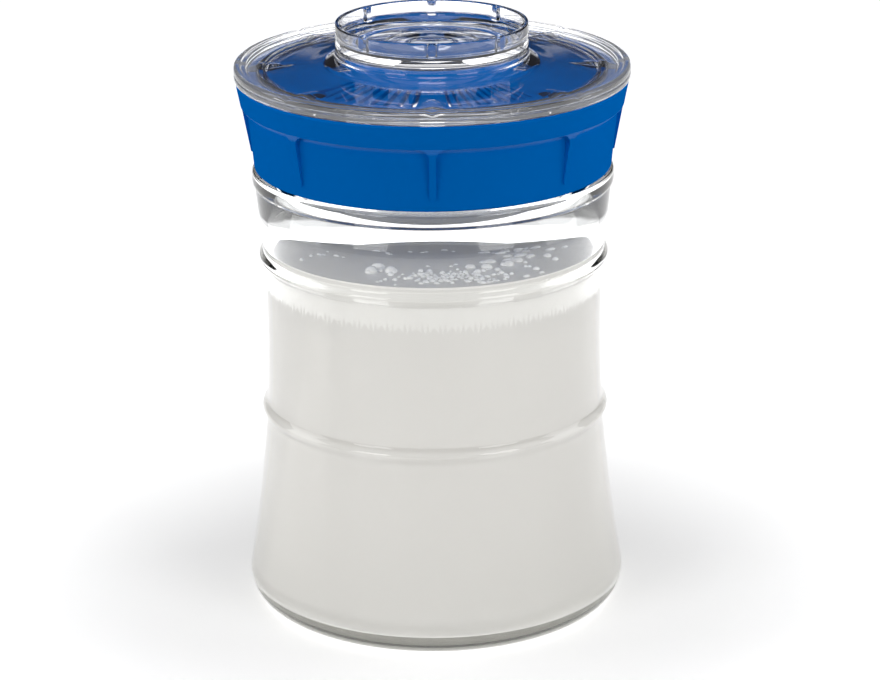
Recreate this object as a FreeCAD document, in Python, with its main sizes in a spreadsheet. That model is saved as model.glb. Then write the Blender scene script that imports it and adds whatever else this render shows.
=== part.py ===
import FreeCAD, Part
import math
import os
from types import SimpleNamespace

import Sketcher
from FreeCAD import Placement, Rotation, Vector

# Kefir fermenting jar: a waisted glass jar filled with kefir, a screw-on strainer lid and a
# clear lid that rests on the strainer. Millimetres, +Z up, origin at the centre of the foot.

SIZES = [
    # glass jar
    ("jar_height", 150.8, "mouth rim above the foot"),
    ("bulge_radius", 54.9, "widest place, just above the heel"),
    ("heel_radius", 8.5, "round corner between wall and foot"),
    ("waist_radius", 48.1, "narrowest place of the wall"),
    ("waist_height", 83.0, "height of the waist"),
    ("foot_ring_width", 5.5, "flat ring that the jar stands on"),
    ("push_up", 2.2, "hollow under the base"),
    ("base_thickness", 4.6, "glass over the top of the push-up"),
    ("glass_wall", 3.6, "wall of the jar"),
    ("inner_heel_radius", 7.0, "round corner of the cavity"),
    ("lower_bead_height", 59.2, "height of the lower bead"),
    ("upper_bead_height", 104.8, "height of the upper bead"),
    ("bead_radius", 2.3, "radius of the bead's section"),
    ("bead_relief", 1.3, "how far a bead stands out of the wall"),
    ("shoulder_radius", 50.9, "wall under the neck bead"),
    ("neck_bead_bottom", 125.8, "underside of the neck bead"),
    ("neck_bead_top", 130.3, "top of the neck bead"),
    ("neck_bead_relief", 0.7, "how far the neck bead stands out"),
    ("neck_bead_round", 0.6, "rounded top edge of the neck bead"),
    ("inner_shoulder_height", 117.0, "cavity starts to narrow to the mouth"),
    ("inner_neck_height", 126.5, "cavity is as narrow as the mouth"),
    ("neck_radius", 48.2, "outside of the neck under the screw ring"),
    ("neck_wall", 4.4, "wall of the neck"),
    ("rim_round", 1.3, "rounded edges of the mouth rim"),
    # kefir
    ("fill_level", 107.2, "surface of the kefir above the foot"),
    # strainer lid
    ("cap_clearance", 0.5, "gap between neck and screw ring"),
    ("skirt_depth", 19.9, "screw ring below the mouth rim"),
    ("skirt_wall", 2.2, "wall of the screw ring at its lower edge"),
    ("skirt_taper", 1.6, "how much wider the screw ring gets up to the lip"),
    ("skirt_edge", 0.5, "rounded lower edge of the screw ring"),
    ("cove_radius", 1.5, "hollow round under the lip"),
    ("lip_height", 6.6, "height of the lip"),
    ("lip_rise", 5.1, "top of the lip above the mouth rim"),
    ("lip_overhang", 1.9, "how far the lip stands out over the screw ring"),
    ("lip_flare", 1.2, "how much wider the lip gets to its upper edge"),
    ("lip_edge", 0.5, "rounded upper edge of the lip"),
    ("seat_wall", 6.2, "wall of the lip round the seat for the clear lid"),
    ("seat_depth", 2.3, "depth of that seat"),
    ("seat_ledge", 2.8, "width of the seat's floor, up to the strainer plate"),
    ("strainer_edge_rise", 4.6, "edge of the strainer plate above the mouth rim"),
    ("strainer_rise", 6.5, "flat middle of the strainer plate above the mouth rim"),
    ("strainer_flat_radius", 26.0, "flat middle of the strainer plate"),
    ("strainer_thickness", 1.8, "thickness of the strainer plate"),
    ("plug_clearance", 0.8, "gap between the mouth and the hollow under the strainer"),
    ("slot_inner_radius", 28.5, "inner ends of the strainer slots"),
    ("slot_outer_radius", 42.0, "outer ends of the strainer slots"),
    ("coarse_width", 1.6, "width of a coarse slot"),
    ("coarse_pitch", 5.3, "degrees from one coarse slot to the next"),
    ("coarse_count", 9, "coarse slots"),
    ("fine_width", 1.0, "width of a fine slot"),
    ("fine_pitch", 3.7, "degrees from one fine slot to the next"),
    ("fine_count", 10, "fine slots"),
    ("slot_gap_angle", 7.0, "degrees from the front rib to the first slot"),
    # grip ribs of the strainer lid
    ("rib_count", 8, "grip ribs, and ribs of the clear lid"),
    ("rib_width", 1.9, "stem of a grip rib"),
    ("rib_flare", 3.0, "radius of the flared top of a grip rib"),
    ("rib_tip_height", 3.4, "tip of a grip rib above the ring's edge"),
    ("rib_tip_relief", 0.45, "relief of a grip rib at its tip"),
    ("rib_root", 1.2, "how deep the ribs are rooted in the ring"),
    # clear lid
    ("spigot_clearance", 0.5, "gap between spigot and seat"),
    ("spigot_width", 1.5, "wall of the locating spigot"),
    ("spigot_depth", 1.6, "spigot below the seat"),
    ("rim_overhang", 0.5, "how far the clear lid stands out over the lip"),
    ("rim_height", 4.5, "height of the clear rim"),
    ("rim_width", 3.6, "width of the rim's bead"),
    ("rim_edge", 0.9, "rounded edges of the rim"),
    ("rim_groove", 0.35, "depth of the groove round the rim"),
    ("plate_thickness", 2.6, "thickness of the sloping plate"),
    ("plate_edge_height", 2.6, "top of the plate at the rim"),
    ("plate_collar_height", 4.6, "top of the plate at the knob ring"),
    ("collar_radius", 30.4, "foot of the knob ring's collar"),
    ("collar_height", 6.9, "top of the collar"),
    ("knob_radius", 27.3, "outside of the knob ring"),
    ("knob_height", 16.0, "top of the knob ring"),
    ("knob_wall", 1.2, "wall of the knob ring"),
    ("knob_edge", 0.35, "rounded top edges of the knob ring"),
    ("recess_depth", 4.2, "straight wall inside the knob ring"),
    ("floor_radius", 21.7, "floor inside the knob ring"),
    ("floor_height", 10.0, "floor of the recess above the seat"),
    ("floor_step", 0.5, "height of each round step in the floor"),
    ("outer_step_radius", 13.4, "outer round step"),
    ("inner_step_radius", 7.2, "inner round step"),
    ("floor_thickness", 1.8, "thickness of the floor"),
    ("spoke_radius", 1.7, "radius of a radial rib's section"),
    ("spoke_sink", 0.8, "axis of a radial rib below the plate's top"),
    ("spoke_length", 9.0, "length of a radial rib, from the rim inwards"),
    ("notch_width", 2.6, "index notch across the rim"),
    ("notch_depth", 0.9, "depth of the index notch"),
    ("knob_rib_width", 3.4, "upright rib inside the knob ring"),
    ("knob_rib_relief", 0.8, "how far that rib stands out"),
    ("knob_rib_top", 0.7, "that rib's end below the knob's top"),
]


RIB_SECTOR = 16.0   # degrees of ring that one grip rib is cut from
FRAME_SHARE = 0.25  # half width of the cutting frame, as a share of the radius it cuts at


class Size:
    """A length that keeps, beside its value, the formula that ties it to the sheet."""

    def __init__(self, value, formula):
        self.value = float(value)
        self.formula = formula

    @staticmethod
    def of(other):
        return other if isinstance(other, Size) else Size(other, repr(other))

    def combine(self, other, sign, value):
        return Size(value, f"({self.formula} {sign} {other.formula})")

    def __add__(self, other):
        other = Size.of(other)
        return self.combine(other, "+", self.value + other.value)

    def __sub__(self, other):
        other = Size.of(other)
        return self.combine(other, "-", self.value - other.value)

    def __mul__(self, other):
        other = Size.of(other)
        return self.combine(other, "*", self.value * other.value)

    def __truediv__(self, other):
        other = Size.of(other)
        return self.combine(other, "/", self.value / other.value)

    def __neg__(self):
        return Size(-self.value, f"(0 - {self.formula})")


def root(size):
    return Size(math.sqrt(size.value), f"sqrt({size.formula})")


def make_sheet(doc):
    """Write the driving sizes into a spreadsheet and return them as Size objects."""
    sheet = doc.addObject("Spreadsheet::Sheet", "Sizes")
    named = {}
    for row, (alias, value, note) in enumerate(SIZES, start=1):
        sheet.set(f"A{row}", note)
        sheet.set(f"B{row}", str(value))
        sheet.setAlias(f"B{row}", alias)
        named[alias] = Size(value, f"Sizes.{alias}")
    doc.recompute()
    return SimpleNamespace(**named)


# ---------------------------------------------------------------- sketching helpers

def origin_feature(body, role):
    return next(f for f in body.Origin.OriginFeatures if f.Role == role)


def new_sketch(body, name, role="XZ_Plane"):
    sketch = body.newObject("Sketcher::SketchObject", name)
    sketch.AttachmentSupport = (origin_feature(body, role), "")
    sketch.MapMode = "FlatFace"
    return sketch


def arc_between(start, end, radius, side):
    """The short arc from start to end whose centre lies to the left (1) or right (-1)."""
    chord = end - start
    middle = (start + end) * 0.5
    reach = math.sqrt(max(radius * radius - chord.Length * chord.Length / 4, 0.0))
    normal = Vector(-chord.y, chord.x, 0).normalize()
    center = middle + normal * (reach * side)
    first, last = (start, end) if side > 0 else (end, start)
    angle = [math.atan2(p.y - center.y, p.x - center.x) for p in (first, last)]
    if angle[1] < angle[0]:
        angle[1] += 2 * math.pi
    return Part.ArcOfCircle(Part.Circle(center, Vector(0, 0, 1), radius), angle[0], angle[1])


def bind(sketch, kind, places, size):
    """Add one dimension to a sketch and tie it to the sheet."""
    name = f"d{sketch.ConstraintCount}"
    index = sketch.addConstraint(Sketcher.Constraint(kind, *places, size.value))
    sketch.renameConstraint(index, name)
    sketch.setExpression(f"Constraints.{name}", size.formula)


def pin(sketch, vertex, x, y):
    """Fix a vertex at the sizes x and y; a plain 0 puts it on the axis."""
    if isinstance(x, Size):
        bind(sketch, "DistanceX", (-1, 1, *vertex), x)
    else:
        sketch.addConstraint(Sketcher.Constraint("PointOnObject", *vertex, -2))
    if isinstance(y, Size):
        bind(sketch, "DistanceY", (-1, 1, *vertex), y)
    else:
        sketch.addConstraint(Sketcher.Constraint("PointOnObject", *vertex, -1))


LEFT = 1
RIGHT = -1


def outline(sketch, corners):
    """Draw a closed outline. A corner is (x, y) or (x, y, side, radius); with a radius the
    edge that follows it is an arc whose centre lies on that side of the way forward."""
    where = [Vector(Size.of(c[0]).value, Size.of(c[1]).value, 0) for c in corners]
    ends = []
    for i, corner in enumerate(corners):
        start = where[i]
        end = where[(i + 1) % len(corners)]
        if len(corner) == 2:
            edge = sketch.addGeometry(Part.LineSegment(start, end))
            ends.append(((edge, 1), (edge, 2)))
        else:
            side, radius = corner[2:]
            edge = sketch.addGeometry(arc_between(start, end, radius.value, side))
            ends.append(((edge, 1), (edge, 2)) if side == LEFT else ((edge, 2), (edge, 1)))
    for i in range(len(corners)):
        following = ends[(i + 1) % len(corners)][0]
        sketch.addConstraint(Sketcher.Constraint("Coincident", *ends[i][1], *following))
    for i, corner in enumerate(corners):
        pin(sketch, ends[i][0], corner[0], corner[1])
        if len(corner) > 2:
            bind(sketch, "Radius", (ends[i][0][0],), corner[3])


def turn(body, name, sketch, kind="Revolution", angle=360.0):
    """Turn a half outline about the upright axis, to add it or to cut it."""
    feature = body.newObject(f"PartDesign::{kind}", name)
    feature.Profile = sketch
    feature.ReferenceAxis = (sketch, ["V_Axis"])
    feature.Angle = angle
    feature.Midplane = angle < 360.0
    body.Document.recompute()
    return feature


def around(body, name, features, count, angle=None):
    """Repeat features about the upright axis, all the way round or over an angle."""
    pattern = body.newObject("PartDesign::PolarPattern", name)
    pattern.Originals = features
    pattern.Axis = (origin_feature(body, "Z_Axis"), [""])
    pattern.setExpression("Occurrences", count.formula)
    if angle is None:
        pattern.Angle = 360.0
    else:
        pattern.setExpression("Angle", f"{angle.formula} * 1 deg")
    body.Tip = pattern
    body.Document.recompute()
    return pattern


def fillet_circles(body, name, base, circles, radius):
    """Round the circular edges that lie at the given radius and height."""
    edges = []
    for i, edge in enumerate(base.Shape.Edges, start=1):
        if edge.Degenerated or not isinstance(edge.Curve, Part.Circle):
            continue
        center = edge.Curve.Center
        if math.hypot(center.x, center.y) > 0.01:
            continue
        for at_radius, at_height in circles:
            off = math.hypot(edge.Curve.Radius - at_radius, center.z - at_height)
            if off < 0.05:
                edges.append(f"Edge{i}")
    if len(edges) != len(circles):
        raise ValueError(f"{name}: {len(edges)} of {len(circles)} edges found")
    fillet = body.newObject("PartDesign::Fillet", name)
    fillet.Base = (base, edges)
    fillet.setExpression("Radius", radius.formula)
    body.Document.recompute()
    return fillet


def must_cut(before, after, name):
    if after.Shape.Volume > before.Shape.Volume - 0.01:
        raise ValueError(f"{name} cuts nothing")


# ---------------------------------------------------------------- glass jar and kefir

def wall_shape(s):
    """The wall is one long hollow curve, tangent to the heel and upright at the waist."""
    drop = s.waist_height - s.heel_radius
    inset = s.waist_radius - s.bulge_radius + s.heel_radius
    bend = (inset * inset + drop * drop - s.heel_radius * s.heel_radius) / (
        (s.bulge_radius - s.waist_radius) * 2)
    center_x = s.waist_radius + bend
    return SimpleNamespace(bend=bend, center_x=center_x)


def wall_radius(s, wall, height, inset):
    """Radius of the wall curve, moved inwards by the inset, at a height."""
    rise = height - s.waist_height
    bend = wall.bend + inset
    return wall.center_x - root(bend * bend - rise * rise)


def toward(start, end, share):
    return tuple(a + (b - a) * share for a, b in zip(start, end))


def cavity_corners(s):
    """Half outline of the inside of the jar, from the floor to just above the mouth."""
    wall = wall_shape(s)
    inner_bend = wall.bend + s.glass_wall
    floor = s.push_up + s.base_thickness
    heel_y = floor + s.inner_heel_radius
    rise = s.waist_height - heel_y
    reach = inner_bend + s.inner_heel_radius
    heel_x = wall.center_x - root(reach * reach - rise * rise)
    join = toward((heel_x, heel_y), (wall.center_x, s.waist_height),
                  s.inner_heel_radius / reach)
    shoulder_x = wall_radius(s, wall, s.upper_bead_height, s.glass_wall)
    mouth_x = s.neck_radius - s.neck_wall
    return [
        (0, floor),
        (heel_x, floor, LEFT, s.inner_heel_radius),
        (*join, RIGHT, inner_bend),
        (shoulder_x, s.upper_bead_height),
        (s.shoulder_radius - s.glass_wall, s.inner_shoulder_height),
        (mouth_x, s.inner_neck_height),
        (mouth_x, s.jar_height),
        (0, s.jar_height),
    ]


def make_glass_jar(doc, s):
    body = doc.addObject("PartDesign::Body", "GlassJar")
    body.Label = "glass_jar"
    wall = wall_shape(s)
    heel_x = s.bulge_radius - s.heel_radius
    join = toward((heel_x, s.heel_radius), (wall.center_x, s.waist_height),
                  s.heel_radius / (wall.bend + s.heel_radius))
    shoulder_x = wall_radius(s, wall, s.upper_bead_height, Size(0, "0"))
    bead_x = s.shoulder_radius + s.neck_bead_relief
    ring_x = heel_x - s.foot_ring_width
    push_bend = (ring_x * ring_x + s.push_up * s.push_up) / (s.push_up * 2)

    section = new_sketch(body, "JarSection")
    outline(section, [
        (0, s.push_up, RIGHT, push_bend),
        (ring_x, 0),
        (heel_x, 0, LEFT, s.heel_radius),
        (*join, RIGHT, wall.bend),
        (shoulder_x, s.upper_bead_height),
        (s.shoulder_radius, s.neck_bead_bottom),
        (bead_x, s.neck_bead_bottom + s.neck_bead_relief),
        (bead_x, s.neck_bead_top - s.neck_bead_round, LEFT, s.neck_bead_round),
        (bead_x - s.neck_bead_round, s.neck_bead_top),
        (s.neck_radius, s.neck_bead_top),
        (s.neck_radius, s.jar_height),
        (0, s.jar_height),
    ])
    blank = turn(body, "JarBlank", section)

    beads = new_sketch(body, "BeadSection")
    for height in (s.lower_bead_height, s.upper_bead_height):
        radius = wall_radius(s, wall, height, Size(0, "0"))
        center_x = radius + s.bead_relief - s.bead_radius
        sketch_circle(beads, center_x, height, s.bead_radius)
    beaded = turn(body, "Beads", beads)

    cavity = new_sketch(body, "CavitySection")
    outline(cavity, cavity_corners(s))
    hollow = turn(body, "Cavity", cavity, "Groove")
    must_cut(beaded, hollow, "Cavity")

    rim = fillet_circles(body, "RimRounds", hollow, [
        (s.neck_radius.value, s.jar_height.value),
        ((s.neck_radius - s.neck_wall).value, s.jar_height.value),
    ], s.rim_round)
    body.Tip = rim
    return body


def sketch_circle(sketch, x, y, radius):
    circle = sketch.addGeometry(
        Part.Circle(Vector(x.value, y.value, 0), Vector(0, 0, 1), radius.value))
    pin(sketch, (circle, 3), x, y)
    bind(sketch, "Radius", (circle,), radius)
    return circle


def make_kefir(doc, s):
    """The kefir fills the cavity up to its level."""
    body = doc.addObject("PartDesign::Body", "Kefir")
    body.Label = "kefir"
    section = new_sketch(body, "KefirSection")
    outline(section, cavity_corners(s))
    full = turn(body, "FullJar", section)

    above = new_sketch(body, "AboveLevel")
    edge = s.bulge_radius
    outline(above, [(0, s.fill_level), (edge, s.fill_level), (edge, s.jar_height),
                    (0, s.jar_height)])
    level = turn(body, "Level", above, "Groove")
    must_cut(full, level, "Level")
    body.Tip = level
    return body


# ---------------------------------------------------------------- strainer lid

def cap_radii(s):
    """Radii of the screw ring and its lip; each follows from the neck of the jar."""
    bore = s.neck_radius + s.cap_clearance
    skirt = bore + s.skirt_wall
    skirt_top = skirt + s.skirt_taper
    lip_bottom = skirt_top + s.lip_overhang
    lip_top = lip_bottom + s.lip_flare
    seat = lip_top - s.seat_wall
    return SimpleNamespace(
        bore=bore,
        plug=s.neck_radius - s.neck_wall - s.plug_clearance,
        skirt=skirt,
        skirt_top=skirt_top,
        lip_bottom=lip_bottom,
        lip_top=lip_top,
        seat=seat,
        strainer=seat - s.seat_ledge,
    )


def strainer_heights(s):
    """Heights above the lower edge of the screw ring."""
    lip_top = s.skirt_depth + s.lip_rise
    return SimpleNamespace(
        seal=s.skirt_depth,
        lip_top=lip_top,
        lip_bottom=lip_top - s.lip_height,
        seat=lip_top - s.seat_depth,
        strainer_edge=s.skirt_depth + s.strainer_edge_rise,
        strainer=s.skirt_depth + s.strainer_rise,
    )


def make_cap_shell(doc, s):
    """Screw ring, lip and strainer plate in one turned shell, with its slots."""
    body = doc.addObject("PartDesign::Body", "CapShell")
    at = strainer_heights(s)
    wide = cap_radii(s)
    section = new_sketch(body, "CapSection")
    outline(section, [
        (wide.bore, 0),
        (wide.skirt - s.skirt_edge, 0, LEFT, s.skirt_edge),
        (wide.skirt, s.skirt_edge),
        (wide.skirt_top, at.lip_bottom - s.cove_radius, RIGHT, s.cove_radius),
        (wide.skirt_top + s.cove_radius, at.lip_bottom),
        (wide.lip_bottom, at.lip_bottom),
        (wide.lip_top, at.lip_top - s.lip_edge, LEFT, s.lip_edge),
        (wide.lip_top - s.lip_edge, at.lip_top),
        (wide.seat, at.lip_top),
        (wide.seat, at.seat),
        (wide.strainer, at.seat),
        (wide.strainer, at.strainer_edge),
        (s.strainer_flat_radius, at.strainer),
        (0, at.strainer),
        (0, at.strainer - s.strainer_thickness),
        (s.strainer_flat_radius, at.strainer - s.strainer_thickness),
        (wide.plug, at.strainer_edge - s.strainer_thickness),
        (wide.plug, at.seal),
        (wide.bore, at.seal),
    ])
    shell = turn(body, "CapTurned", section)
    coarse_turn = s.slot_gap_angle + s.coarse_pitch * (s.coarse_count - 1)
    coarse = cut_slots(body, "Coarse", s, shell, -coarse_turn, s.coarse_width,
                       s.coarse_pitch, s.coarse_count)
    cut_slots(body, "Fine", s, coarse, s.slot_gap_angle, s.fine_width,
              s.fine_pitch, s.fine_count)
    return body


def cut_slots(body, name, s, base, start, width, pitch, count):
    """Cut a fan of radial slots; start is the first slot's angle from the front."""
    sketch = new_sketch(body, f"{name}Slot", "XY_Plane")
    sketch.AttachmentOffset = Placement(Vector(), Rotation(Vector(0, 0, 1), start.value))
    sketch.setExpression("AttachmentOffset.Rotation.Angle", f"{start.formula} * 1 deg")
    half = width / 2
    inner = -s.slot_inner_radius
    outer = -s.slot_outer_radius
    outline(sketch, [(-half, inner), (-half, outer), (half, outer), (half, inner)])
    slot = body.newObject("PartDesign::Pocket", f"{name}SlotCut")
    slot.Profile = sketch
    slot.Type = "ThroughAll"
    slot.Reversed = True
    body.Document.recompute()
    must_cut(base, slot, slot.Name)
    fan = around(body, f"{name}Slots", [slot], count, pitch * (count - 1))
    must_cut(slot, fan, fan.Name)
    return fan


def make_grip_ribs(doc, s):
    """Eight grip ribs with flared tops, trimmed to a cone that is flush with the lip."""
    body = doc.addObject("PartDesign::Body", "GripRibs")
    at = strainer_heights(s)
    wide = cap_radii(s)
    tip = s.rib_tip_height
    root_x = wide.skirt - s.rib_root
    skirt_lean = s.skirt_taper / (at.lip_bottom - s.cove_radius - s.skirt_edge)
    tip_x = wide.skirt + skirt_lean * (tip - s.skirt_edge) + s.rib_tip_relief
    top = at.lip_bottom + s.rib_root

    wedge = new_sketch(body, "RibWedge")
    outline(wedge, [
        (root_x, tip),
        (tip_x, tip),
        (wide.lip_bottom, at.lip_bottom),
        (wide.lip_bottom, top),
        (root_x, top),
    ])
    sector = turn(body, "RibSector", wedge, angle=RIB_SECTOR)

    half = s.rib_width / 2
    flare = half + s.rib_flare
    neck = at.lip_bottom - s.rib_flare
    frame = wide.lip_bottom * FRAME_SHARE
    above = top + s.rib_root
    below = tip - s.rib_root
    trim = new_sketch(body, "RibOutline", "YZ_Plane")
    outline(trim, [(-frame, below), (frame, below), (frame, above), (-frame, above)])
    outline(trim, [
        (Size(0, "0"), tip, LEFT, half),
        (half, tip + half),
        (half, neck, RIGHT, s.rib_flare),
        (flare, at.lip_bottom),
        (flare, top),
        (-flare, top),
        (-flare, at.lip_bottom, RIGHT, s.rib_flare),
        (-half, neck),
        (-half, tip + half, LEFT, half),
    ])
    cut = body.newObject("PartDesign::Pocket", "RibTrim")
    cut.Profile = trim
    cut.Type = "ThroughAll"
    cut.Reversed = True
    doc.recompute()
    must_cut(sector, cut, "RibTrim")
    around(body, "RibsRound", [sector, cut], s.rib_count)
    return body


def make_strainer_lid(doc, s):
    lid = doc.addObject("Part::Fuse", "StrainerLid")
    lid.Label = "strainer_lid"
    lid.Base = make_cap_shell(doc, s)
    lid.Tool = make_grip_ribs(doc, s)
    place_at = s.jar_height - s.skirt_depth
    lid.setExpression("Placement.Base.z", place_at.formula)
    return lid


# ---------------------------------------------------------------- clear lid

def make_top_lid(doc, s):
    """Clear lid: rim, sloping plate with eight radial ribs, and a round knob ring."""
    body = doc.addObject("PartDesign::Body", "TopLid")
    body.Label = "top_lid"
    seat = s.spigot_depth
    cap = cap_radii(s)
    spigot_x = cap.seat - s.spigot_clearance
    rim_outer = cap.lip_top + s.rim_overhang
    rim_top = seat + s.rim_height
    rim_inner = rim_outer - s.rim_width
    plate_edge = seat + s.plate_edge_height
    plate_collar = seat + s.plate_collar_height
    groove = seat + s.rim_height / 2
    knob_top = seat + s.knob_height
    knob_bore = s.knob_radius - s.knob_wall
    floor = seat + s.floor_height
    ceiling = floor - s.floor_step * 2 - s.floor_thickness
    hollow_x = knob_bore - s.knob_wall
    recess = knob_top - s.recess_depth

    section = new_sketch(body, "LidSection")
    outline(section, [
        (0, ceiling),
        (s.floor_radius - s.knob_wall, ceiling),
        (hollow_x, recess - s.floor_thickness - s.knob_wall),
        (hollow_x, seat + s.collar_height - s.plate_thickness),
        (s.collar_radius - s.knob_wall, plate_collar - s.plate_thickness),
        (spigot_x - s.spigot_width, plate_edge - s.plate_thickness),
        (spigot_x - s.spigot_width, 0),
        (spigot_x, 0),
        (spigot_x, seat),
        (rim_outer - s.rim_edge, seat, LEFT, s.rim_edge),
        (rim_outer, seat + s.rim_edge),
        (rim_outer, groove - s.rim_groove),
        (rim_outer - s.rim_groove, groove),
        (rim_outer, groove + s.rim_groove),
        (rim_outer, rim_top - s.rim_edge, LEFT, s.rim_edge),
        (rim_outer - s.rim_edge, rim_top),
        (rim_inner + s.rim_edge, rim_top, LEFT, s.rim_edge),
        (rim_inner, rim_top - s.rim_edge),
        (rim_inner, plate_edge),
        (s.collar_radius, plate_collar),
        (s.knob_radius, seat + s.collar_height),
        (s.knob_radius, knob_top - s.knob_edge, LEFT, s.knob_edge),
        (s.knob_radius - s.knob_edge, knob_top),
        (knob_bore + s.knob_edge, knob_top, LEFT, s.knob_edge),
        (knob_bore, knob_top - s.knob_edge),
        (knob_bore, recess),
        (s.floor_radius, floor),
        (s.outer_step_radius, floor),
        (s.outer_step_radius, floor - s.floor_step),
        (s.inner_step_radius, floor - s.floor_step),
        (s.inner_step_radius, floor - s.floor_step * 2),
        (0, floor - s.floor_step * 2),
    ])
    turned = turn(body, "LidTurned", section)

    spokes = add_spokes(body, s, rim_inner, plate_edge, plate_collar)
    knob_ribs = add_knob_ribs(body, s, knob_bore, floor, knob_top)
    cut_notches(body, s, knob_ribs, rim_inner, rim_top)
    place_at = s.jar_height + s.lip_rise - s.spigot_depth
    body.setExpression("Placement.Base.z", place_at.formula)
    return body


def add_spokes(body, s, rim_inner, plate_edge, plate_collar):
    """Short radial ribs: one sunk round bar from the rim inwards, turned eightfold."""
    way = new_sketch(body, "SpokeWay")
    slope = (plate_collar - plate_edge) / (rim_inner - s.collar_radius)
    start = (rim_inner - s.spoke_length, plate_edge + slope * s.spoke_length - s.spoke_sink)
    end = (rim_inner + s.rim_edge, plate_edge - s.spoke_sink)
    line = way.addGeometry(Part.LineSegment(
        Vector(start[0].value, start[1].value, 0), Vector(end[0].value, end[1].value, 0)))
    pin(way, (line, 1), *start)
    pin(way, (line, 2), *end)
    body.Document.recompute()

    section = body.newObject("Sketcher::SketchObject", "SpokeSection")
    section.AttachmentSupport = [(way, "Edge1")]
    section.MapMode = "NormalToEdge"
    section.MapPathParameter = 0.0
    circle = section.addGeometry(
        Part.Circle(Vector(0, 0, 0), Vector(0, 0, 1), s.spoke_radius.value))
    section.addConstraint(Sketcher.Constraint("Coincident", circle, 3, -1, 1))
    bind(section, "Radius", (circle,), s.spoke_radius)

    spoke = body.newObject("PartDesign::AdditivePipe", "Spoke")
    spoke.Profile = section
    spoke.Spine = (way, ["Edge1"])
    body.Document.recompute()
    return around(body, "Spokes", [spoke], s.rib_count)


def add_knob_ribs(body, s, knob_bore, floor, knob_top):
    """Upright ribs on the inner wall of the knob ring."""
    sketch = new_sketch(body, "KnobRib", "XY_Plane")
    sketch.setExpression("AttachmentOffset.Base.z", floor.formula)
    half = s.knob_rib_width / 2
    outer = knob_bore + s.knob_wall / 2
    inner = knob_bore - s.knob_rib_relief
    outline(sketch, [(inner, -half), (outer, -half), (outer, half), (inner, half)])
    rib = body.newObject("PartDesign::Pad", "KnobRibPad")
    rib.Profile = sketch
    height = knob_top - s.knob_rib_top - floor
    rib.setExpression("Length", height.formula)
    body.Document.recompute()
    return around(body, "KnobRibs", [rib], s.rib_count)


def cut_notches(body, s, base, rim_inner, rim_top):
    """Small index notches across the top of the rim, one beside each radial rib."""
    sketch = new_sketch(body, "Notch", "YZ_Plane")
    sketch.setExpression("AttachmentOffset.Base.z", rim_inner.formula)
    half = s.notch_width / 2
    outline(sketch, [
        (Size(0, "0"), rim_top - s.notch_depth),
        (half, rim_top + s.rim_groove),
        (-half, rim_top + s.rim_groove),
    ])
    notch = body.newObject("PartDesign::Pocket", "NotchCut")
    notch.Profile = sketch
    notch.Type = "ThroughAll"
    notch.Reversed = True
    body.Document.recompute()
    must_cut(base, notch, "NotchCut")
    around(body, "Notches", [notch], s.rib_count)


# ---------------------------------------------------------------- checks and export

def check(doc, parts):
    for obj in doc.Objects:
        if "Invalid" in obj.State or "Error" in obj.State:
            raise ValueError(f"{obj.Name} failed: {obj.State}")
    for part in parts:
        if part.Shape.isNull() or not part.Shape.isValid():
            raise ValueError(f"{part.Label} has no valid shape")
        if len(part.Shape.Solids) != 1:
            raise ValueError(f"{part.Label} has {len(part.Shape.Solids)} solids")


def main():
    os.makedirs("parts", exist_ok=True)
    doc = FreeCAD.newDocument("KefirJar")
    sizes = make_sheet(doc)
    parts = [
        make_glass_jar(doc, sizes),
        make_kefir(doc, sizes),
        make_strainer_lid(doc, sizes),
        make_top_lid(doc, sizes),
    ]
    doc.recompute()
    check(doc, parts)
    for part in parts:
        part.Shape.exportStep(f"parts/{part.Label}.step")
        print(f"{part.Label}: {part.Shape.Volume / 1000:.2f} cm3")


main()
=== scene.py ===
# %% [markdown]
# # A kefir fermenting jar
# A waisted glass jar of kefir stands on a white table. A blue screw-on lid with a strainer
# closes it, and a clear lid with a raised ring rests on top. The CAD frame is loaded first:
# it holds every piece at its real size. The jar, the kefir and the clear lid are then
# modelled again as finer meshes, because light bends through them and every facet would show.

# %% Load the frame
import math
import random

import bpy
from mathutils import Matrix, Vector


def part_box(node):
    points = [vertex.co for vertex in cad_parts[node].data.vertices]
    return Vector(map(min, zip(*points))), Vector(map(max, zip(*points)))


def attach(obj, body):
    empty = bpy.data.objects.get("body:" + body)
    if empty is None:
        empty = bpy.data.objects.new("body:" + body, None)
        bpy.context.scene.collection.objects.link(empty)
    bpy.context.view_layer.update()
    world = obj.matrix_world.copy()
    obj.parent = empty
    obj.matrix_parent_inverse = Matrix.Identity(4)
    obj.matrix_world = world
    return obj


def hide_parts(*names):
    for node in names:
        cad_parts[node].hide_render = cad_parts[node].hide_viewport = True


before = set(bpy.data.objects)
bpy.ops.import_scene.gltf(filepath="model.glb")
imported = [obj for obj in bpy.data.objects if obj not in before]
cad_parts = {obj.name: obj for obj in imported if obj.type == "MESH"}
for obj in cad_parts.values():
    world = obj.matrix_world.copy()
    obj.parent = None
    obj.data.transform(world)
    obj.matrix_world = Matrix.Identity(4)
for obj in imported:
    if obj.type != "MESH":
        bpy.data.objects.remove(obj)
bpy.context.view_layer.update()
scene = bpy.context.scene
print("CAD nodes:", sorted(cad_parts))

# %% [markdown]
# ## Sizes
# Blender works in metres and the sizes of a jar are easier to read in millimetres, so every
# size of a piece is written in millimetres and turned into metres once, by mm(). Places that
# the CAD frame already holds are measured there, so the new pieces fit the old ones. The floor
# of the cavity is drawn a little lower than there, which gives the thin light line at the base.

# %% Sizes of the jar
MM = 0.001


def mm(value):
    return value * MM


def top_of(node):
    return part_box(node)[1][2]


def bottom_of(node):
    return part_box(node)[0][2]


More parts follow.
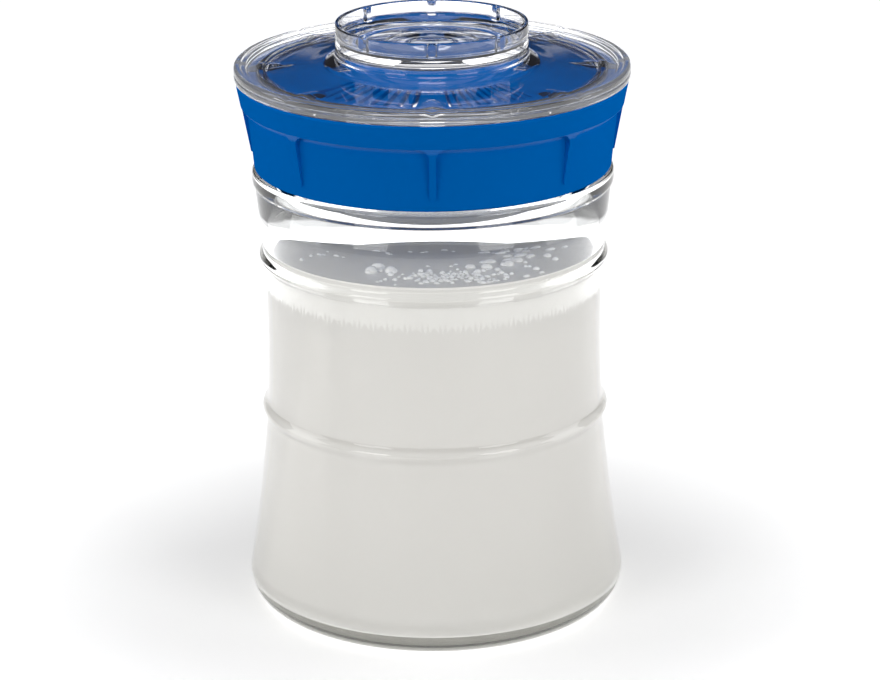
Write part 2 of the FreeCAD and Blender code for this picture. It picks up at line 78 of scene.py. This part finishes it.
jar_top = top_of("glass_jar")
kefir_level = top_of("kefir")
floor_drop = mm(1.2)
cavity_floor = bottom_of("kefir") - floor_drop
print(f"jar {jar_top / MM:.1f} mm high")
print(f"kefir from {cavity_floor / MM:.1f} to {kefir_level / MM:.1f} mm")

# %% [markdown]
# ## Turned shapes
# A jar is round, so its mesh can be made the way a potter or a lathe makes it: draw half of
# the section once, then spin it about the upright axis. One vertex is extruded from point to
# point to draw the section. It could be typed in as a curve with a Screw modifier too, but
# extrude and spin are the two operators that every modeller knows.
# Corners are given with a rounding radius, and a small function puts an arc there.

# %% Section helpers
ARC_STEP = math.radians(12)


def rounded(corners):
    """Points of an outline from corners (r, z, rounding), with an arc at each rounded corner."""
    points = []
    for i, (r, z, radius) in enumerate(corners):
        here = Vector((r, z))
        if radius == 0 or i in (0, len(corners) - 1):
            points.append(here)
            continue
        before = (Vector(corners[i - 1][:2]) - here).normalized()
        after = (Vector(corners[i + 1][:2]) - here).normalized()
        half = before.angle(after) / 2
        reach = radius / math.tan(half)
        center = here + (before + after).normalized() * (radius / math.sin(half))
        start = here + before * reach - center
        turn = math.pi - 2 * half
        sign = 1 if start.cross(here + after * reach - center) > 0 else -1
        steps = max(2, math.ceil(turn / ARC_STEP))
        for k in range(steps + 1):
            points.append(center + Matrix.Rotation(sign * turn * k / steps, 2) @ start)
    return points


def select_only(piece):
    bpy.ops.object.select_all(action="DESELECT")
    piece.select_set(True)
    bpy.context.view_layer.objects.active = piece


def turned(name, points, steps=180, smooth_angle=40):
    """Draw a half section (r, z) in metres with one vertex and spin it into a closed piece."""
    bpy.ops.object.select_all(action="DESELECT")
    bpy.ops.mesh.primitive_plane_add(size=mm(1))
    piece = bpy.context.object
    piece.name = piece.data.name = name
    bpy.ops.object.mode_set(mode="EDIT")
    bpy.ops.mesh.select_all(action="SELECT")
    bpy.ops.mesh.merge(type="CENTER")
    bpy.ops.transform.translate(value=(points[0][0], 0, points[0][1]))
    for a, b in zip(points, points[1:]):
        step = (b[0] - a[0], 0, b[1] - a[1])
        bpy.ops.mesh.extrude_vertices_move(TRANSFORM_OT_translate={"value": step})
    bpy.ops.mesh.select_all(action="SELECT")
    bpy.ops.mesh.spin(steps=steps, angle=2 * math.pi, center=(0, 0, 0), axis=(0, 0, 1))
    bpy.ops.mesh.select_all(action="SELECT")
    bpy.ops.mesh.remove_doubles(threshold=mm(0.005))
    bpy.ops.mesh.normals_make_consistent(inside=False)
    bpy.ops.object.mode_set(mode="OBJECT")
    bpy.ops.object.shade_smooth_by_angle(angle=math.radians(smooth_angle))
    print(f"{name}: {len(piece.data.polygons)} faces")
    return piece


# %% [markdown]
# ## The wall of the jar
# The wall is one long hollow curve: narrowest at the waist, wider to the shoulder, and widest
# just above the heel, where it meets the round corner without a kink. Two thin beads run
# round it. Pressed glass has no sharp edges, so a bead is added to the wall's radius as a
# smooth bump. A torus joined to the wall would leave a hard line there.

# %% Wall of the jar
bulge_radius = mm(54.9)
heel_radius = mm(8.5)
waist_radius = mm(48.1)
waist_height = mm(83.0)
glass_wall = mm(3.6)
bead_heights = (mm(59.2), mm(104.8))
bead_relief = mm(1.35)
bead_half_width = mm(2.6)
shoulder_height = mm(125.8)
shoulder_radius = mm(50.9)

drop = waist_height - heel_radius
inset = waist_radius - bulge_radius + heel_radius
wall_bend = (inset**2 + drop**2 - heel_radius**2) / (2 * (bulge_radius - waist_radius))
wall_center = waist_radius + wall_bend
heel_center = bulge_radius - heel_radius
heel_join = math.atan2(waist_height - heel_radius, wall_center - heel_center)
print(f"the wall bends at a radius of {wall_bend / MM:.0f} mm")


def curve_radius(z):
    """Radius of the long hollow curve."""
    return wall_center - math.sqrt(wall_bend**2 - (z - waist_height) ** 2)


def plain_wall(z):
    """Radius of the outside without its beads; above the upper bead it widens to the shoulder."""
    curve = curve_radius(min(z, bead_heights[1]))
    rise = max(0.0, (z - bead_heights[1]) / (shoulder_height - bead_heights[1]))
    return curve + (shoulder_radius - curve) * rise


def bead(z):
    """How far the beads stand out at a height."""
    reach = min(abs(z - height) for height in bead_heights) / bead_half_width
    return bead_relief * (0.5 + 0.5 * math.cos(math.pi * min(1.0, reach)))


def spread(low, high, step):
    """Even heights from low to high, about a step apart."""
    count = max(1, round((high - low) / step))
    return [low + (high - low) * k / count for k in range(count + 1)]


def wall_heights(low, high):
    """Heights along the wall, close together at a bead and wide apart between beads."""
    marks = [low]
    for height in bead_heights:
        marks += [height - bead_half_width, height + bead_half_width]
    marks.append(high)
    heights = []
    for i, (a, b) in enumerate(zip(marks, marks[1:])):
        step = mm(0.45) if i % 2 else mm(3)
        heights += spread(a, b, step)[: None if i == len(marks) - 2 else -1]
    return heights


# %% [markdown]
# ## The glass jar
# The outline starts on the axis under the base, where the glass is pushed up a little, runs
# round the foot and up the outside, over the mouth and down the inside. Both ends lie on the
# axis, so the spun shell is closed and light is bent once on the way in and once on the way
# out, as in real glass.

# %% Model the glass jar
foot_ring_width = mm(5.5)
push_up = mm(2.2)
step_height = mm(1.6)
step_inset = mm(2)
inner_heel = mm(5.0)
neck_radius = mm(48.2)
mouth_radius = mm(43.8)
neck_bead_top = mm(130.3)
neck_bead_radius = mm(51.6)
lip_depth = mm(5)
throat_bottom = mm(127)
inner_shoulder = (mm(46), mm(117))
inner_wall_top = mm(110)


def arc(center_r, center_z, radius, start, end):
    """Points of an arc, with the angles in radians."""
    steps = max(2, math.ceil(abs(end - start) / ARC_STEP * 1.6))
    angles = [start + (end - start) * k / steps for k in range(steps + 1)]
    return [(center_r + radius * math.cos(a), center_z + radius * math.sin(a)) for a in angles]


def base_outline():
    foot_inner = heel_center - foot_ring_width
    step_r = foot_inner - step_inset
    hollow = [(step_r * k / 8, step_height + (push_up - step_height) * (1 - (k / 8) ** 2))
              for k in range(8)]
    edge = rounded([(*hollow[-1], 0), (step_r, step_height, mm(0.8)),
                    (foot_inner, 0, mm(0.8)), (heel_center, 0, 0)])
    return hollow + [tuple(p) for p in edge[1:-1]]


def outer_outline():
    heel = arc(heel_center, heel_radius, heel_radius, -math.pi / 2, heel_join)
    heights = wall_heights(heel[-1][1], shoulder_height)
    wall = [(plain_wall(z) + bead(z), z) for z in heights[1:]]
    neck = rounded([(plain_wall(heights[-2]), heights[-2], 0),
                    (shoulder_radius, shoulder_height, mm(0.8)),
                    (neck_bead_radius, shoulder_height + mm(1), mm(0.8)),
                    (neck_bead_radius, neck_bead_top, mm(1.2)),
                    (neck_radius, neck_bead_top, mm(0.6)),
                    (neck_radius, jar_top, mm(1.3)),
                    (mouth_radius, jar_top, mm(1.3)),
                    (mouth_radius, jar_top - lip_depth, 0)])
    return heel + wall[:-1] + [tuple(p) for p in neck[1:]]


def inner_outline(reach=0.0):
    """The inside of the wall from the shoulder down to the axis, moved outwards by reach."""
    radius = inner_heel + reach
    corner_z = cavity_floor + inner_heel
    far = wall_bend + glass_wall + inner_heel
    corner_r = wall_center - math.sqrt(far**2 - (waist_height - corner_z) ** 2)
    join = math.atan2(waist_height - corner_z, wall_center - corner_r)
    corner = arc(corner_r, corner_z, radius, join, -math.pi / 2)
    heights = spread(inner_wall_top, corner[0][1], mm(4))
    wall = [(curve_radius(z) - glass_wall + reach, z) for z in heights[:-1]]
    floor = [(corner_r * k / 4, cavity_floor - reach) for k in (3, 2, 1, 0)]
    return wall + corner + floor


def jar_outline():
    start = inner_outline()[0]
    throat = rounded([(mouth_radius, jar_top - lip_depth, 0),
                      (mouth_radius, throat_bottom, mm(14)),
                      (*inner_shoulder, mm(18)), (*start, 0)])
    return base_outline() + outer_outline() + [tuple(p) for p in throat[1:-1]] + inner_outline()


glass_jar = turned("glass_jar_smooth", jar_outline(), steps=240)
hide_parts("glass_jar")

# %% [markdown]
# ## The kefir
# A liquid wets the glass, with no air between the two. Its outline repeats the inside of the
# jar but reaches a quarter of a millimetre into the wall, so the renderer never meets an
# empty slit. At the edge the surface creeps up the glass in a small meniscus.

# %% Model the kefir
reach = mm(0.25)
meniscus = mm(0.9)
meniscus_width = mm(3.5)


def kefir_outline():
    side = [p for p in inner_outline(reach) if p[1] < kefir_level]
    edge = curve_radius(kefir_level) - glass_wall + reach
    surface = [(0, kefir_level)]
    for k in range(4):
        surface.append(((edge - meniscus_width) * (k + 1) / 4, kefir_level))
    for k in range(1, 9):
        share = k / 8
        surface.append((edge - meniscus_width * (1 - share), kefir_level + meniscus * share**3))
    return surface + side


kefir = turned("kefir_body", kefir_outline(), steps=180, smooth_angle=50)
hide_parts("kefir")

# %% [markdown]
# ## Bubbles and froth
# Kefir gives off gas, so bubbles sit on its surface: a few large ones by themselves and a
# patch of fine froth. One bubble is modelled from a sphere, cut off flat a little below its
# middle, where it dips into the drink. The others are copies with a mesh of their own, made
# larger or smaller and put down at random inside a few patches.

# %% Model one bubble
bpy.ops.object.select_all(action="DESELECT")
bpy.ops.mesh.primitive_uv_sphere_add(segments=18, ring_count=12, radius=mm(1))
first_bubble = bpy.context.object
bpy.ops.object.mode_set(mode="EDIT")
bpy.ops.mesh.select_all(action="SELECT")
bpy.ops.mesh.bisect(plane_co=(0, 0, mm(-0.3)), plane_no=(0, 0, 1), use_fill=True,
                    clear_inner=True)
bpy.ops.mesh.select_all(action="SELECT")
bpy.ops.mesh.normals_make_consistent(inside=False)
bpy.ops.object.mode_set(mode="OBJECT")
bpy.ops.object.shade_smooth_by_angle(angle=math.radians(50))
print(f"one bubble: {len(first_bubble.data.polygons)} faces")

# %% [markdown]
# ## Scattered bubbles
# The bubbles lie in patches, thick near the front and thin elsewhere. Gauss numbers crowd
# them towards the middle of a patch, and a squared random number makes most of them small.
# The seed is fixed, so they fall the same way each time. A particle system would be lost on
# the way out of Blender, so they are joined into one mesh.

# %% Scatter the bubbles
# Each patch: centre x, y, spread x, y, number, smallest and largest radius, in millimetres.
patches = [
    (4, -31, 17, 9, 150, 0.4, 1.0),
    (22, -14, 13, 12, 30, 0.6, 1.9),
    (24, 8, 13, 12, 18, 0.6, 1.6),
    (-15, -24, 6, 6, 6, 0.9, 2.0),
    (-28, -8, 9, 9, 8, 0.5, 1.2),
    (0, 18, 25, 8, 14, 0.5, 1.4),
]
chance = random.Random(7)
surface_edge = curve_radius(kefir_level) - glass_wall - meniscus_width
bubbles = []
for x, y, wide, deep, count, smallest, largest in patches:
    for _ in range(count):
        size = smallest + (largest - smallest) * chance.random() ** 2
        place = Vector((chance.gauss(x, wide / 2), chance.gauss(y, deep / 2), 0)) * MM
        if place.length + mm(size) > surface_edge:
            continue
        bubble = first_bubble.copy()
        bubble.data = first_bubble.data.copy()
        height = kefir_level + mm(0.02)
        bubble.data.transform(Matrix.Translation((place.x, place.y, height))
                              @ Matrix.Diagonal((size, size, size * 0.8, 1)))
        scene.collection.objects.link(bubble)
        bubbles.append(bubble)
bpy.data.objects.remove(first_bubble)
bpy.ops.object.select_all(action="DESELECT")
for bubble in bubbles:
    bubble.select_set(True)
bpy.context.view_layer.objects.active = bubbles[0]
bpy.ops.object.join()
froth = bpy.context.object
froth.name = froth.data.name = "kefir_bubbles"
print(f"{len(bubbles)} bubbles, {len(froth.data.polygons)} faces")

# %% [markdown]
# ## The clear lid
# The clear lid is moulded in one piece: a thick rim, a sloping plate, a ring to hold it by
# and a shallow dish inside that ring. Its section is drawn like the others and spun in finer
# steps, because the eight short ribs have to bend out of the same surface. A Boolean would
# join hard rods to the plate. Here the vertices along each rib are lifted with proportional
# editing, so the ribs run out softly into the plate, as they do in moulded plastic.

# %% Model the clear lid
lid_seat = jar_top + mm(5.1)
# Corners of the half section: radius, height above the seat and rounding, in millimetres.
underside = [
    (0, 7.2, 0), (20.5, 7.2, 2.5), (24.9, 9.6, 1.2), (24.9, 4.4, 1.4), (29.2, 2.0, 3),
    (36, 1.29, 0), (42, 0.66, 0), (47.4, 0.1, 0.5), (47.4, -1.6, 0.3), (48.9, -1.6, 0.3),
    (48.9, 0.6, 0.3)]
rim = [
    (55.4, 0.12, 0.5), (56.1, 0.8, 0.5), (56.1, 1.9, 0.3), (55.7, 2.3, 0.3), (56.1, 2.7, 0.3),
    (56.1, 4.5, 1.0), (54.2, 4.5, 0.6), (53.9, 3.9, 0.3), (52.6, 3.9, 0.5), (52.2, 2.6, 0.7)]
low_ring = [(49.6, 2.8, 0.4), (49.2, 3.3, 0.4), (47.8, 3.4, 0.5), (47.2, 3.0, 0.6)]
plate_top = [
    (45.5, 3.16, 0), (44, 3.3, 0), (42, 3.5, 0), (38, 3.88, 0), (34.5, 4.21, 0), (30.4, 4.6, 3)]
knob_ring = [
    (27.3, 6.9, 1.2), (27.3, 16, 0.5), (26.1, 16, 0.5), (26.1, 15, 0), (26.1, 13.6, 0),
    (26.1, 11.8, 1.6)]
dish = [
    (21.7, 10, 1.5), (13.4, 10, 0.2), (13.2, 9.5, 0.2), (7.2, 9.5, 0.2), (7.0, 9, 0.2),
    (0, 9, 0)]
lid_section = underside + rim + low_ring + plate_top + knob_ring + dish
lid_outline = rounded([(mm(r), lid_seat + mm(z), mm(radius)) for r, z, radius in lid_section])
top_lid = turned("clear_lid", lid_outline, steps=384)


def push_line(piece, angle, radii, heights, half_width, move, soft):
    """Move vertices along one radial line by move = (outwards, up), all in millimetres.

    Neighbours follow less and less, up to a distance of soft.
    """
    bpy.ops.mesh.select_all(action="DESELECT")
    bpy.ops.object.mode_set(mode="OBJECT")
    along = Vector((math.cos(angle), math.sin(angle), 0))
    across = Vector((-math.sin(angle), math.cos(angle), 0))
    chosen = 0
    for vertex in piece.data.vertices:
        place = vertex.co
        vertex.select = (radii[0] < place.dot(along) / MM < radii[1]
                         and heights[0] < (place.z - lid_seat) / MM < heights[1]
                         and abs(place.dot(across)) / MM < half_width)
        chosen += vertex.select
    bpy.ops.object.mode_set(mode="EDIT")
    outwards, up = move
    bpy.ops.transform.translate(
        value=along * mm(outwards) + Vector((0, 0, mm(up))), use_proportional_edit=True,
        use_proportional_connected=True, proportional_edit_falloff="SMOOTH",
        proportional_size=mm(soft))
    return chosen


select_only(top_lid)
bpy.ops.object.mode_set(mode="EDIT")
bpy.ops.mesh.select_mode(type="VERT")
rib_count = 8
plate_rib = {"radii": (44.5, 51.5), "heights": (2.2, 4.4), "half_width": 0.35,
             "move": (0, 0.75), "soft": 4.0}
rim_notch = {"radii": (53, 56.3), "heights": (3.8, 5), "half_width": 0.35,
             "move": (0, -0.5), "soft": 1.8}
knob_rib = {"radii": (25.8, 26.3), "heights": (11, 15.2), "half_width": 1.2,
            "move": (-0.8, 0), "soft": 0.7}
moved = 0
for k in range(rib_count):
    angle = 2 * math.pi * k / rib_count
    for detail in (plate_rib, rim_notch, knob_rib):
        moved += push_line(top_lid, angle, **detail)
bpy.ops.object.mode_set(mode="OBJECT")
print("vertices moved for the ribs and notches:", moved)
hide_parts("top_lid")

# %% [markdown]
# ## Shader helpers
# Shader maths reads best as an expression. A small class wraps a socket, so that 1 - mask
# adds the Math node by itself. Every other node comes from one method that is told the node's
# type, its settings and what goes into its sockets, so a material reads from top to bottom.
# The same method works for a material and for the sky, since both are trees of nodes.

# %% Wire, Board and Paint


class Wire:
    """A shader socket that can be added, subtracted, multiplied, compared and blended."""

    def __init__(self, board, socket):
        self.board = board
        self.socket = socket

    def math(self, operation, first, second):
        node = self.board.add("ShaderNodeMath", {"operation": operation}, {0: first, 1: second})
        return self.board.out(node)

    def __add__(self, other):
        return self.math("ADD", self, other)

    __radd__ = __add__

    def __mul__(self, other):
        return self.math("MULTIPLY", self, other)

    __rmul__ = __mul__

    def __sub__(self, other):
        return self.math("SUBTRACT", self, other)

    def __rsub__(self, other):
        return self.math("SUBTRACT", other, self)

    def __lt__(self, other):
        return self.math("LESS_THAN", self, other)

    def __gt__(self, other):
        return self.math("GREATER_THAN", self, other)

    def at_most(self, limit):
        return self.math("MINIMUM", self, limit)

    def at_least(self, limit):
        return self.math("MAXIMUM", self, limit)

    def blend(self, start, end, first, last):
        """Go smoothly from first to last while this value goes from start to end."""
        node = self.board.add("ShaderNodeMapRange", {"interpolation_type": "SMOOTHSTEP"}, {
            "Value": self, "From Min": start, "From Max": end, "To Min": first, "To Max": last})
        return self.board.out(node, "Result")


class Board:
    """A tree of shader nodes, and the one way to add a node to it."""

    def __init__(self, tree):
        self.tree = tree

    def add(self, kind, settings=None, inputs=None):
        node = self.tree.nodes.new(kind)
        for key, value in (settings or {}).items():
            if key == "stops":
                self.set_stops(node.color_ramp, value)
            else:
                setattr(node, key, value)
        self.fill(node, inputs or {})
        return node

    def set_stops(self, ramp, stops):
        first, last = ramp.elements
        first.position, first.color = stops[0]
        last.position, last.color = stops[-1]
        for position, color in stops[1:-1]:
            ramp.elements.new(position).color = color

    def fill(self, node, inputs):
        for key, value in inputs.items():
            if isinstance(value, Wire):
                self.tree.links.new(value.socket, node.inputs[key])
            else:
                node.inputs[key].default_value = value

    def out(self, node, key=0):
        return Wire(self, node.outputs[key])


class Paint(Board):
    """A material with its Principled shader."""

    def __init__(self, name):
        self.material = bpy.data.materials.new(name)
        self.material.use_nodes = True
        super().__init__(self.material.node_tree)
        self.surface = self.tree.nodes["Principled BSDF"]
        self.output = self.tree.nodes["Material Output"]


def axis_distance(board):
    """Distance from the object's upright axis, in metres."""
    place = board.add("ShaderNodeTexCoord")
    flat = board.add("ShaderNodeVectorMath", {"operation": "MULTIPLY"},
                     {0: board.out(place, "Object"), 1: (1, 1, 0)})
    length = board.add("ShaderNodeVectorMath", {"operation": "LENGTH"}, {0: board.out(flat)})
    return board.out(length, "Value")


print("shader helpers ready")

# %% [markdown]
# ## Glass and clear plastic
# Both are a Principled shader with full transmission. Lamps cannot shine through refracting
# glass in a path tracer, so for shadow rays only the glass is swapped for a Transparent
# shader. Thick glass is faintly green, which a Volume Absorption shader gives by depth. Outside
# its plate the clear lid gets a little pale plastic mixed in: a painted reflection, standing in
# for the white light that the rim of the real lid reflects and bends towards the eye.

# %% Clear materials
# Where the painted reflection in the clear rim starts, and how much pale plastic it mixes in.
reflection_paint_start = mm(48.3)
reflection_paint_width = mm(1.5)
reflection_paint_share = 0.18


def add_painted_reflection(paint, body):
    """Mix a share of pale plastic, a painted reflection, into the part of a round piece far from
    its axis.
    """
    share = axis_distance(paint).blend(reflection_paint_start, reflection_paint_start + reflection_paint_width, 0.0, reflection_paint_share)
    # Painted reflection: pale plastic that stands in for the white light the real rim reflects.
    reflection_white = paint.add("ShaderNodeBsdfPrincipled", {}, {
        "Base Color": (0.85, 0.87, 0.9, 1), "Roughness": 0.3})
    return paint.out(paint.add("ShaderNodeMixShader", {}, {
        0: share, 1: body, 2: paint.out(reflection_white)}))


def clear_material(name, tint, ior, rim_reflection_paint=False):
    paint = Paint(name)
    paint.fill(paint.surface, {"Base Color": (*tint, 1), "Roughness": 0.0, "IOR": ior,
                               "Transmission Weight": 1.0})
    body = paint.out(paint.surface)
    if rim_reflection_paint:
        body = add_painted_reflection(paint, body)
    path = paint.add("ShaderNodeLightPath")
    open_way = paint.add("ShaderNodeBsdfTransparent", {}, {"Color": (0.95, 0.95, 0.95, 1)})
    swap = paint.add("ShaderNodeMixShader", {}, {
        0: paint.out(path, "Is Shadow Ray"), 1: body, 2: paint.out(open_way)})
    paint.fill(paint.output, {"Surface": paint.out(swap)})
    return paint


jar_glass = clear_material("jar_glass", (0.985, 0.99, 0.985), 1.5)
green_depth = jar_glass.add("ShaderNodeVolumeAbsorption", {},
                            {"Color": (0.5, 0.54, 0.3, 1), "Density": 2.5})
jar_glass.fill(jar_glass.output, {"Volume": jar_glass.out(green_depth)})
# The rim of the clear lid gets the painted reflection.
clear_plastic = clear_material("clear_plastic", (0.985, 0.985, 0.99), 1.55, rim_reflection_paint=True)
print("clear materials:", jar_glass.material.name, clear_plastic.material.name)

# %% [markdown]
# ## Kefir and blue plastic
# Kefir is a warm white and not quite as smooth as milk. Its froth is paler and wet, so it has
# a coat. The blue lid is matt, except in the hollow below its lip, where the polished mould
# leaves a narrow gloss: a mask of the height alone turns the coat on there.

# %% Kefir and blue plastic
kefir_paint = Paint("kefir_white")
kefir_paint.fill(kefir_paint.surface, {"Base Color": (0.73, 0.715, 0.685, 1),
                                       "Roughness": 0.25})
froth_paint = Paint("kefir_froth")
froth_paint.fill(froth_paint.surface, {"Base Color": (0.86, 0.86, 0.85, 1), "Roughness": 0.12,
                                       "Coat Weight": 0.6, "Coat Roughness": 0.05})

gloss_bottom = jar_top - mm(3.4)
gloss_full = jar_top - mm(2.2)
gloss_top = jar_top - mm(1.45)
lid_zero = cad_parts["strainer_lid"].matrix_world.translation.z
blue_paint = Paint("blue_plastic_satin")
spot = blue_paint.add("ShaderNodeTexCoord")
split = blue_paint.add("ShaderNodeSeparateXYZ", {}, {0: blue_paint.out(spot, "Object")})
height = blue_paint.out(split, "Z")
gloss = height.blend(gloss_bottom - lid_zero, gloss_full - lid_zero, 0.0, 0.5)
blue_paint.fill(blue_paint.surface, {
    "Base Color": (0.0, 0.153, 0.58, 1), "Roughness": 0.36, "Specular IOR Level": 0.0,
    "Coat Weight": gloss * (height < gloss_top - lid_zero), "Coat Roughness": 0.25})


def dress(piece, paint):
    """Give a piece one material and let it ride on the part's only body."""
    piece.data.materials.clear()
    piece.data.materials.append(paint.material)
    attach(piece, "root")


dress(glass_jar, jar_glass)
dress(kefir, kefir_paint)
dress(top_lid, clear_plastic)
dress(froth, froth_paint)
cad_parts["strainer_lid"].data.materials[0] = blue_paint.material
print("dressed:", [piece.name for piece in (glass_jar, kefir, top_lid, froth)])

# %% [markdown]
# ## The white floor
# The jar stands on a white sweep, which keeps its soft shadow. For camera, glossy and
# transmission rays the floor also glows a little, more so far from the jar, so that it goes
# out to plain white without any more light on the jar. Some of the glow is kept under the
# foot, where real glass gathers light. Rays that have bounced off something get less of it.

# %% Floor
floor_side = 8.0
glow_near, glow_far = 0.44, 0.85
glow_under_foot = 0.4
bounced_cut = 0.55
bpy.ops.object.select_all(action="DESELECT")
bpy.ops.mesh.primitive_plane_add(size=floor_side)
floor = bpy.context.object
floor.name = "floor"
white = Paint("white_floor")
ray = white.add("ShaderNodeLightPath")
bounced = white.out(ray, "Diffuse Depth").at_most(1.0)
shown = (1 - bounced_cut * bounced) * (
    white.out(ray, "Is Camera Ray") + white.out(ray, "Is Glossy Ray")
    + white.out(ray, "Is Transmission Ray"))
distance = axis_distance(white)
glow = distance.blend(mm(60), mm(180), glow_near, glow_far)
caught = distance.blend(mm(46), mm(54), glow_under_foot, 0.0)
white.fill(white.surface, {
    "Base Color": (0.9, 0.9, 0.9, 1), "Roughness": 0.9,
    "Emission Color": shown * (glow + caught), "Emission Strength": 1.0})
floor.data.materials.append(white.material)
print(f"floor {floor_side:.0f} m wide, glow {glow_near} near the jar and {glow_far} far from it")

# %% [markdown]
# ## The sky
# A sky that is pale only near the horizon shows as a bright edge in the glass and leaves the
# clear plate free of reflections. Rays that went through something clear get a sky of their
# own, which is bright overhead too, so the steps of the clear lid sparkle.

# %% Sky
horizon = ((0.0, (0.75, 0.75, 0.75, 1)), (0.08, (0.03, 0.03, 0.035, 1)))
seen_through = ((0.08, (0.9, 0.9, 0.92, 1)), (0.14, (0.02, 0.02, 0.025, 1)),
                (0.62, (0.02, 0.02, 0.0206, 1)), (0.75, (0.7, 0.7, 0.721, 1)))
world = bpy.data.worlds.new("studio")
scene.world = world
world.use_nodes = True
sky = Board(world.node_tree)
toward = sky.add("ShaderNodeTexCoord")
upward = sky.out(sky.add("ShaderNodeSeparateXYZ", {}, {0: sky.out(toward, "Generated")}), "Z")
plain = sky.add("ShaderNodeValToRGB", {"stops": horizon}, {"Fac": upward})
through = sky.add("ShaderNodeValToRGB", {"stops": seen_through}, {"Fac": upward})
ray = sky.add("ShaderNodeLightPath")
went_through = sky.out(ray, "Transmission Depth") > 0.5
share = (went_through - sky.out(ray, "Diffuse Depth")).at_least(0.0)
both = sky.add("ShaderNodeMix", {"data_type": "RGBA"}, {
    0: share, 6: sky.out(plain), 7: sky.out(through)})
sky.fill(sky.tree.nodes["Background"], {"Color": sky.out(both, 2)})
print(f"sky: {len(horizon)} stops, and {len(seen_through)} for rays that went through")

# %% [markdown]
# ## Soft lamps
# Two large softboxes in front light the jar evenly from both sides, two windows beside it
# brighten its edges, and a weak lamp overhead lights the lids.

# %% Soft lamps


def soft_lamp(name, place, size, power, aim=(0, 0, mm(90))):
    data = bpy.data.lights.new(name, "AREA")
    data.energy = power
    data.size = size
    lamp = bpy.data.objects.new(name, data)
    scene.collection.objects.link(lamp)
    way = Vector(aim) - Vector(place)
    turn = way.to_track_quat("-Z", "Y").to_matrix().to_4x4()
    lamp.matrix_world = Matrix.Translation(place) @ turn
    print(f"{name}: {power} W, {size} m wide")


soft_lamp("left_softbox", (-1.2, -1.25, 0.8), 0.8, 8.2)
soft_lamp("right_softbox", (1.2, -1.25, 0.8), 0.8, 8.2)
soft_lamp("overhead", (0, -0.25, 1.4), 0.4, 2)
soft_lamp("left_window", (-1.0, 0.1, 0.4), 0.6, 2.5)
soft_lamp("right_window", (1.0, 0.1, 0.4), 0.6, 2.7)

# %% [markdown]
# ## The camera
# A long lens a metre away looks down on the jar at about nineteen degrees.

# %% Camera
camera_place = (0.0016, -0.9226, 0.3915)
look_down = math.radians(18.82)
lean = math.radians(-0.48)
camera_data = bpy.data.cameras.new("camera")
camera_data.sensor_width = 36
camera_data.lens = 137.4
camera = bpy.data.objects.new("camera", camera_data)
scene.collection.objects.link(camera)
scene.camera = camera
camera.matrix_world = (Matrix.Translation(camera_place)
                       @ Matrix.Rotation(math.pi / 2 - look_down, 4, "X")
                       @ Matrix.Rotation(lean, 4, "Z"))
scene.view_settings.view_transform = "Standard"
print(f"camera: {camera_data.lens} mm lens, {math.degrees(look_down):.1f} degrees down")
